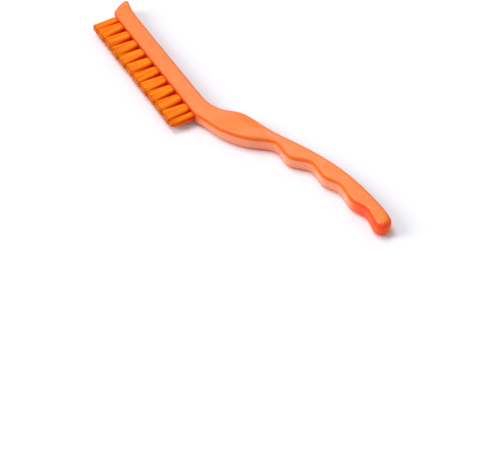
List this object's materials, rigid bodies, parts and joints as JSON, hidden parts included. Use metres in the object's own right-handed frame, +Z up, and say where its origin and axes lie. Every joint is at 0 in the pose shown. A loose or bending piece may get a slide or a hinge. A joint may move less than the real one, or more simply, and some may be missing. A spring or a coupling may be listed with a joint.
{
  "type": "grout brush",
  "caption": "Narrow grout brush: a moulded plastic head and cranked handle with finger grooves and a thumb rest, and one row of stiff bristle tufts set in the head.",
  "frame": {"origin": "under the middle of the brush's box, on the surface that it lies on", "axes": "+X along the head from the nose to the tail, bristles towards -Y, +Z up out of the flank"},
  "size_m": [0.2078, 0.06, 0.0084],
  "materials": {
    "handle_plastic": "moulded polypropylene, semi-gloss",
    "filament": "straight polyester filament, trimmed ends",
    "anchor_wire": "flattened drawn wire"
  },
  "bodies": {
    "root": {"handle": "handle_plastic", "nose_tuft": "filament", "tuft_01": "filament", "tuft_02": "filament", "tuft_03": "filament", "tuft_04": "filament", "tuft_05": "filament", "tuft_06": "filament", "tuft_07": "filament", "tuft_08": "filament", "tuft_09": "filament", "tuft_10": "filament", "heel_tuft": "filament", "nose_anchor": "anchor_wire", "anchor_01": "anchor_wire", "anchor_02": "anchor_wire", "anchor_03": "anchor_wire", "anchor_04": "anchor_wire", "anchor_05": "anchor_wire", "anchor_06": "anchor_wire", "anchor_07": "anchor_wire", "anchor_08": "anchor_wire", "anchor_09": "anchor_wire", "anchor_10": "anchor_wire", "heel_anchor": "anchor_wire"}
  },
  "joints": []
}
